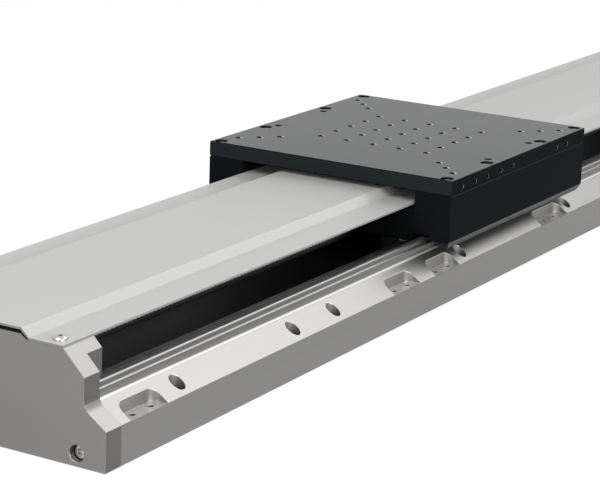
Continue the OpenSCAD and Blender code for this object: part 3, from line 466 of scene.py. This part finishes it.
def clean(piece, angle=30.0):
    """Merges doubles, turns the faces outwards and shades by angle."""
    editing(piece)
    bpy.ops.mesh.select_all(action="SELECT")
    bpy.ops.mesh.remove_doubles(threshold=0.001 * MM)
    bpy.ops.mesh.normals_make_consistent(inside=False)
    bpy.ops.object.mode_set(mode="OBJECT")
    bpy.ops.object.shade_smooth_by_angle(angle=math.radians(angle))


def settle(piece):
    """Brings a piece's place into its mesh, with its object at the origin."""
    only(piece)
    bpy.ops.object.transform_apply(location=True, rotation=True, scale=True)


def join(name, pieces):
    """One object made of several."""
    only(*pieces)
    bpy.ops.object.join()
    piece = bpy.context.object
    piece.name = name
    piece.data.name = name
    return piece


def copies(piece, offsets):
    """Copies of a piece, each with its own mesh, moved by each offset."""
    made = []
    for offset in offsets:
        only(piece)
        bpy.ops.object.duplicate(linked=False)
        copy = bpy.context.object
        copy.data.transform(Matrix.Translation(offset))
        made.append(copy)
    bpy.data.objects.remove(piece)
    return made


def hand_over(piece, body, slot, *nodes):
    """Gives a finished piece its material, its body and the nodes it stands for."""
    piece.data.materials.clear()
    piece.data.materials.append(FINISHES[slot])
    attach(piece, body)
    if nodes:
        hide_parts(*nodes)


def paint(*nodes):
    """Gives CAD nodes the finish of their slot."""
    for node in nodes:
        for slot in frame["nodes"][node].material_slots:
            slot.material = FINISHES[SLOT_OF[node]]


def merged_copy(node, name):
    """A copy of a CAD node with its loose triangles merged into whole faces."""
    source = frame["nodes"][node]
    piece = bpy.data.objects.new(name, source.data.copy())
    bpy.context.scene.collection.objects.link(piece)
    only(piece)
    bpy.ops.mesh.customdata_custom_splitnormals_clear()
    editing(piece)
    bpy.ops.mesh.select_all(action="SELECT")
    bpy.ops.mesh.remove_doubles(threshold=0.001 * MM)
    bpy.ops.mesh.dissolve_limited(angle_limit=math.radians(0.2))
    bpy.ops.object.mode_set(mode="OBJECT")
    return piece


def soften(piece, width, segments=2, test=None):
    """Breaks the sharp edges, or only those with both ends where a test says so."""
    editing(piece, "EDGE")
    bpy.ops.mesh.edges_select_sharp(sharpness=SHARP)
    bpy.ops.object.mode_set(mode="OBJECT")
    mesh = piece.data
    ends = [edge.select and (not test or all(test(mesh.vertices[i].co) for i in edge.vertices))
            for edge in mesh.edges]
    for item in (*mesh.vertices, *mesh.polygons):
        item.select = False
    for edge, chosen in zip(mesh.edges, ends):
        edge.select = chosen
    bpy.ops.object.mode_set(mode="EDIT")
    bpy.ops.mesh.bevel(offset=width, segments=segments, affect="EDGES", clamp_overlap=False,
                       loop_slide=False)
    bpy.ops.object.mode_set(mode="OBJECT")


def dress(node, width, slot=None, test=None):
    """A finished copy of a CAD node with softened edges, which stands for it."""
    piece = merged_copy(node, f"{node}_finished")
    soften(piece, width, test=test)
    finish_off(piece, node, slot)


def finish_off(piece, node, slot=None):
    """Shades a softened copy and lets it stand for its node."""
    only(piece)
    bpy.ops.object.shade_smooth_by_angle(angle=SHARP)
    modify(piece, "WEIGHTED_NORMAL", weight=100, keep_sharp=True)
    hand_over(piece, BODY_OF[node], slot or SLOT_OF[node], node)


# -------------------------------------------------------------------- pieces

class MODULE_OT_finishes(bpy.types.Operator):
    """Mix the finishes of all the module's parts"""

    bl_idname = "linear_module.finishes"
    bl_label = "Finishes"

    def execute(self, context):
        FINISHES.update(make_finishes(context.scene.module_colours))
        return {"FINISHED"}


class MODULE_OT_base(bpy.types.Operator):
    """Finish the base extrusion, its end plates and the bearing supports"""

    bl_idname = "linear_module.base"
    bl_label = "Base and ends"

    def execute(self, context):
        sizes = context.scene.module_sizes
        ends = (BASE_LOW.x, BASE_HIGH.x)
        self.extrusion(sizes)
        for node in ("idle_end_plate", "drive_end_plate", "idle_bearing_block", "drive_bearing_housing"):
            dress(node, sizes.edge_break,
                  test=lambda place: min(abs(place.x - end) for end in ends) > 0.01 * MM)
        for node in ("idle_plate_screws", "drive_plate_screws"):
            dress(node, sizes.edge_break / 2)
        paint("idle_block_screws", "housing_screws", "idle_bumpers", "drive_bumpers")
        return {"FINISHED"}

    def extrusion(self, sizes):
        """The base, with the ledge on its walls drawn to a narrow bright line."""
        piece = merged_copy("base_extrusion", "base_extrusion_finished")
        heights = sorted({round(vertex.co.z, 5) for vertex in piece.data.vertices})
        ledge = heights[-3]
        rim = heights[-4]
        editing(piece)
        pick(piece, lambda place: abs(place.z - ledge) < 0.01 * MM)
        bpy.ops.transform.translate(value=(0, 0, -sizes.ledge_drop))
        for side in (-1, 1):
            pick(piece, lambda place: abs(place.z - rim) < 0.01 * MM and place.y * side > 0)
            bpy.ops.transform.translate(value=(0, -side * sizes.ledge_edge, sizes.ledge_edge * 0.9))
        soften(piece, sizes.edge_break)
        finish_off(piece, "base_extrusion")


class MODULE_OT_cover(bpy.types.Operator):
    """Finish the sheet cover and its screws"""

    bl_idname = "linear_module.cover"
    bl_label = "Cover"

    def execute(self, context):
        dress("top_cover", context.scene.module_sizes.sheet_break)
        paint("cover_screws")
        return {"FINISHED"}


class MODULE_OT_guides(bpy.types.Operator):
    """Finish the rails and the bearing blocks"""

    bl_idname = "linear_module.guides"
    bl_label = "Guides"

    def execute(self, context):
        for side in ("left", "right"):
            paint(f"{side}_rail", f"{side}_rail_screws", f"{side}_block_seals")
            for end in ("idle", "drive"):
                paint(f"{side}_{end}_block", f"{side}_{end}_block_caps")
        paint("block_screws")
        dress("grease_nipples", context.scene.module_sizes.edge_break)
        return {"FINISHED"}


class MODULE_OT_ball_screw(bpy.types.Operator):
    """Cut the screw's ball groove and finish nut, bearings and coupling"""

    bl_idname = "linear_module.ball_screw"
    bl_label = "Ball screw"

    def execute(self, context):
        sizes = context.scene.module_sizes
        thread = self.thread(sizes)
        journals = self.journals(thread)
        piece = join("ball_screw_threaded", [thread, journals])
        only(piece)
        bpy.ops.object.shade_smooth_by_angle(angle=math.radians(35))
        hand_over(piece, "screw", "rail_steel", "ball_screw")
        piece.data.materials[0] = screw_finish(context.scene.module_colours)
        paint("ball_nut", "nut_wipers", "nut_screws", "nut_bracket", "bracket_screws",
              "idle_bearing_outer", "idle_bearing_balls", "idle_bearing_inner", "idle_circlip",
              "drive_bearing_outers", "drive_bearing_balls", "drive_bearing_inners",
              "bearing_retainer", "retainer_screws", "bearing_spacer", "lock_nut",
              "screw_coupling_hub", "coupling_spider", "motor_coupling_hub", "hub_clamp_screws")
        return {"FINISHED"}

    def thread(self, sizes):
        """The helical ball groove between the screw's two shoulders."""
        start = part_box("idle_bearing_inner")[1].x + 2 * MM
        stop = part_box("drive_bearing_inners")[0].x - 5 * MM
        turns = math.ceil((stop - start) / sizes.lead) + 2
        bpy.ops.object.select_all(action="DESELECT")
        bpy.ops.mesh.primitive_circle_add(vertices=12, radius=sizes.groove, location=(0, 0, 0),
                                          rotation=(math.pi / 2, 0, 0))
        piece = bpy.context.object
        settle(piece)
        editing(piece)
        bpy.ops.mesh.select_all(action="SELECT")
        bpy.ops.transform.translate(value=(sizes.lead / 2, 0, SCREW_RADIUS + sizes.groove * 0.5))
        pick(piece, lambda place: place.z > SCREW_RADIUS + 0.01 * MM)
        bpy.ops.mesh.delete(type="VERT")
        bpy.ops.object.mode_set(mode="OBJECT")
        first, last = (bound(vertex.co.x for vertex in piece.data.vertices) for bound in (min, max))
        editing(piece)
        pick(piece, lambda place: place.x > last - 0.01 * MM)
        bpy.ops.mesh.extrude_region_move(
            TRANSFORM_OT_translate={"value": (first + sizes.lead - last, 0, 0)})
        bpy.ops.object.mode_set(mode="OBJECT")
        modify(piece, "SCREW", axis="X", angle=2 * math.pi, steps=20, render_steps=20,
               iterations=turns, screw_offset=sizes.lead, use_merge_vertices=True,
               merge_threshold=0.001 * MM)
        piece.data.transform(Matrix.Translation((start - 2 * sizes.lead, 0, SCREW_Z)))
        editing(piece)
        bpy.ops.mesh.select_all(action="SELECT")
        bpy.ops.mesh.remove_doubles(threshold=0.05 * MM)
        for place, side in ((start, "clear_inner"), (stop, "clear_outer")):
            bpy.ops.mesh.select_all(action="SELECT")
            bpy.ops.mesh.bisect(plane_co=(place, 0, 0), plane_no=(1, 0, 0), use_fill=True, **{side: True})
        clean(piece, 35)
        return piece

    def journals(self, thread):
        """The plain ends of the screw, kept from the frame's own shape."""
        low, high = (bound(vertex.co.x for vertex in thread.data.vertices) for bound in (min, max))
        ends = []
        for place, side in ((low, "clear_outer"), (high, "clear_inner")):
            piece = merged_copy("ball_screw", "journal")
            editing(piece)
            bpy.ops.mesh.select_all(action="SELECT")
            bpy.ops.mesh.bisect(plane_co=(place, 0, 0), plane_no=(1, 0, 0), use_fill=True, **{side: True})
            bpy.ops.object.mode_set(mode="OBJECT")
            ends.append(piece)
        return join("journals", ends)


class MODULE_OT_carriage(bpy.types.Operator):
    """Finish the table and the slide block, with threads in the tapped holes"""

    bl_idname = "linear_module.carriage"
    bl_label = "Carriage"

    def execute(self, context):
        scene = context.scene
        width = scene.module_sizes.edge_break
        self.table(scene)
        dress("slide_block", width)
        dress("table_screws", width / 2)
        self.threads(scene.module_sizes)
        return {"FINISHED"}

    def table(self, scene):
        """The table top with softened outer edges and countersunk holes."""
        sizes = scene.module_sizes
        piece = merged_copy("table_top", "table_top_finished")
        taps = [place.xy for place in self.places()]
        reach = MOUNTS["table_grid_50"]["dims"]["hole_r_mm"] * MM + 0.1 * MM
        top = TABLE_HIGH.z - 0.01 * MM

        def tapped(place):
            return place.z > top and any((place.xy - tap).length < reach for tap in taps)

        soften(piece, sizes.edge_break, test=lambda place: not tapped(place))
        soften(piece, sizes.sink, segments=1, test=tapped)
        finish_off(piece, "table_top")
        piece.data.materials[0] = table_finish(scene.module_colours)

    def places(self):
        """Places of the table's tapped holes, from the record's patterns."""
        middle = Vector(MOUNTS["table_face"]["pos_m"])
        pitch = MOUNTS["table_grid_50"]["dims"]["spacing_x_mm"] / 2 * MM
        spots = [(i * pitch, j * pitch) for i in range(-2, 3) for j in range(-2, 3)]
        for ring in ("inner", "middle", "outer"):
            half = MOUNTS[f"table_corners_{ring}"]["dims"]["spacing_x_mm"] / 2 * MM
            spots += [(i * half, j * half) for i in (-1, 1) for j in (-1, 1)]
        return [middle + Vector((x, y, TABLE_LOW.z - middle.z)) for x, y in spots]

    def threads(self, sizes):
        """One helical ridge for each tapped hole of the table."""
        radius = MOUNTS["table_grid_50"]["dims"]["hole_r_mm"] * MM
        depth = TABLE_HIGH.z - TABLE_LOW.z
        turns = int(depth / sizes.tap_pitch) - 1
        bpy.ops.object.select_all(action="DESELECT")
        bpy.ops.mesh.primitive_circle_add(vertices=3, radius=sizes.tap_depth / 1.5,
                                          rotation=(math.pi / 2, math.pi / 2, 0))
        piece = bpy.context.object
        settle(piece)
        inner = min(vertex.co.x for vertex in piece.data.vertices)
        flip = -1 if abs(inner) < sizes.tap_depth / 2 else 1
        piece.data.transform(Matrix.Diagonal((flip, 1, 1, 1)))
        piece.data.transform(Matrix.Translation((radius - sizes.tap_depth / 4, 0, 0)))
        modify(piece, "SCREW", axis="Z", angle=2 * math.pi, steps=16, render_steps=16,
               iterations=turns, screw_offset=sizes.tap_pitch, use_merge_vertices=True,
               merge_threshold=0.001 * MM)
        piece.data.transform(Matrix.Translation((0, 0, sizes.tap_pitch)))
        editing(piece)
        bpy.ops.mesh.select_all(action="SELECT")
        bpy.ops.mesh.fill_holes(sides=3)
        clean(piece, 20)
        ridges = join("table_threads", copies(piece, self.places()))
        hand_over(ridges, "carriage", "stainless")


class MODULE_OT_adapter(bpy.types.Operator):
    """Finish the motor adapter and its screws"""

    bl_idname = "linear_module.adapter"
    bl_label = "Motor adapter"

    def execute(self, context):
        dress("motor_adapter", context.scene.module_sizes.edge_break)
        paint("adapter_screws")
        return {"FINISHED"}


# --------------------------------------------------------------------- stage

# The view: where the camera stands, which way it looks and how it leans
CAMERA_PLACE = Vector((-1.6203, -0.8576, 0.4980))
CAMERA_AZIMUTH = 59.31
CAMERA_DIP = 15.35
CAMERA_ROLL = 1.91
CAMERA_LENS = 131.83


class MODULE_OT_stage(bpy.types.Operator):
    """Set the floor, the lights and the camera"""

    bl_idname = "linear_module.stage"
    bl_label = "Stage"

    def execute(self, context):
        scene = context.scene
        scene.view_settings.view_transform = "Standard"
        self.floor(scene)
        self.world(scene)
        self.lamp("key_light", (2.6, -1.0, 2.8), (0.0, 0.0, 0.0), (2.8, 1.8), 66.0)
        self.lamp("top_light", (-1.5, 0.2, 1.75), (-0.5, 0.0, 0.0), (1.6, 1.6), 27.0)
        self.lamp("side_light", (-0.5, -2.8, 1.0), (-0.3, 0.0, 0.05), (2.4, 0.7), 52.0)
        self.lamp("slot_light", (-1.0, -2.4, 0.58), (-0.35, 0.0, 0.04), (1.8, 0.3), 26.0)
        self.lamp("front_light", (-3.2, -0.4, 0.7), (-0.4, 0.0, 0.05), (1.6, 0.7), 24.0)
        self.camera(scene)
        return {"FINISHED"}

    def white(self, tree, surface, share):
        """Mixes a surface with white for camera, glossy and transmission rays."""
        path = tree.nodes.new("ShaderNodeLightPath")
        seen = path.outputs["Is Camera Ray"]
        for name in ("Is Glossy Ray", "Is Transmission Ray"):
            either = tree.nodes.new("ShaderNodeMath")
            either.operation = "MAXIMUM"
            tree.links.new(seen, either.inputs[0])
            tree.links.new(path.outputs[name], either.inputs[1])
            seen = either.outputs[0]
        part = tree.nodes.new("ShaderNodeMath")
        part.operation = "MULTIPLY"
        tree.links.new(seen, part.inputs[0])
        part.inputs[1].default_value = share
        white = tree.nodes.new("ShaderNodeEmission" if surface.bl_idname != "ShaderNodeBackground"
                               else "ShaderNodeBackground")
        white.inputs["Color"].default_value = (1.0, 1.0, 1.0, 1.0)
        white.inputs["Strength"].default_value = 1.0
        mix = tree.nodes.new("ShaderNodeMixShader")
        tree.links.new(part.outputs[0], mix.inputs[0])
        tree.links.new(surface.outputs[0], mix.inputs[1])
        tree.links.new(white.outputs[0], mix.inputs[2])
        return mix.outputs[0]

    def floor(self, scene):
        """A wide pale floor that keeps a soft shadow."""
        bpy.ops.object.select_all(action="DESELECT")
        bpy.ops.mesh.primitive_plane_add(size=scene.module_sizes.floor_size, location=(0, 0, -0.5 * MM))
        floor = bpy.context.object
        floor.name = "floor"
        material = bpy.data.materials.new("floor_pale")
        material.use_nodes = True
        tree = material.node_tree
        matt = tree.nodes["Principled BSDF"]
        matt.inputs["Base Color"].default_value = (*scene.module_colours.floor, 1.0)
        matt.inputs["Roughness"].default_value = 0.9
        output = tree.nodes["Material Output"]
        tree.links.new(self.white(tree, matt, 0.8), output.inputs["Surface"])
        floor.data.materials.append(material)

    def world(self, scene):
        """An even surround: soft for the light it gives, white where it is seen."""
        scene.world = bpy.data.worlds.new("surround")
        scene.world.use_nodes = True
        tree = scene.world.node_tree
        soft = tree.nodes["Background"]
        soft.inputs["Color"].default_value = (1.0, 1.0, 1.0, 1.0)
        soft.inputs["Strength"].default_value = 0.45
        tree.links.new(self.white(tree, soft, 1.0), tree.nodes["World Output"].inputs["Surface"])

    def lamp(self, name, place, target, size, power):
        """A soft box that looks at a point."""
        light = bpy.data.lights.new(name, "AREA")
        light.shape = "RECTANGLE"
        light.size, light.size_y = size
        light.energy = power
        lamp = bpy.data.objects.new(name, light)
        lamp.location = place
        lamp.rotation_euler = (Vector(target) - Vector(place)).to_track_quat("-Z", "Y").to_euler()
        bpy.context.scene.collection.objects.link(lamp)

    def camera(self, scene):
        """The camera at its place, turned by azimuth, dip and lean."""
        camera = bpy.data.cameras.new("camera")
        camera.lens = CAMERA_LENS
        camera.sensor_width = 36.0
        camera.clip_end = 100.0
        eye = bpy.data.objects.new("camera", camera)
        turn = Matrix.Rotation(-math.radians(CAMERA_AZIMUTH), 3, "Z")
        dip = Matrix.Rotation(math.radians(90 - CAMERA_DIP), 3, "X")
        lean = Matrix.Rotation(math.radians(CAMERA_ROLL), 3, "Z")
        eye.matrix_world = Matrix.Translation(CAMERA_PLACE) @ (turn @ dip @ lean).to_4x4()
        scene.collection.objects.link(eye)
        scene.camera = eye


# ------------------------------------------------------------------ the add-on

STEPS = (MODULE_OT_finishes, MODULE_OT_base, MODULE_OT_cover, MODULE_OT_guides,
         MODULE_OT_ball_screw, MODULE_OT_carriage, MODULE_OT_adapter, MODULE_OT_stage)


class MODULE_PT_panel(bpy.types.Panel):
    """The module's pieces, sizes and colours"""

    bl_idname = "MODULE_PT_panel"
    bl_label = "Ball screw linear module"
    bl_space_type = "VIEW_3D"
    bl_region_type = "UI"
    bl_category = "Module"

    def draw(self, context):
        for step in STEPS:
            self.layout.operator(step.bl_idname)
        for group in (context.scene.module_sizes, context.scene.module_colours):
            box = self.layout.box()
            for name in group.__annotations__:
                box.prop(group, name)


CLASSES = (ModuleSizes, ModuleColours, *STEPS, MODULE_PT_panel)


def register():
    for cls in CLASSES:
        bpy.utils.register_class(cls)
    bpy.types.Scene.module_sizes = bpy.props.PointerProperty(type=ModuleSizes)
    bpy.types.Scene.module_colours = bpy.props.PointerProperty(type=ModuleColours)


def unregister():
    del bpy.types.Scene.module_colours
    del bpy.types.Scene.module_sizes
    for cls in reversed(CLASSES):
        bpy.utils.unregister_class(cls)


def main():
    """Builds the module step by step."""
    register()
    for step in STEPS:
        group, name = step.bl_idname.split(".")
        getattr(getattr(bpy.ops, group), name)()


if __name__ == "__main__":
    main()
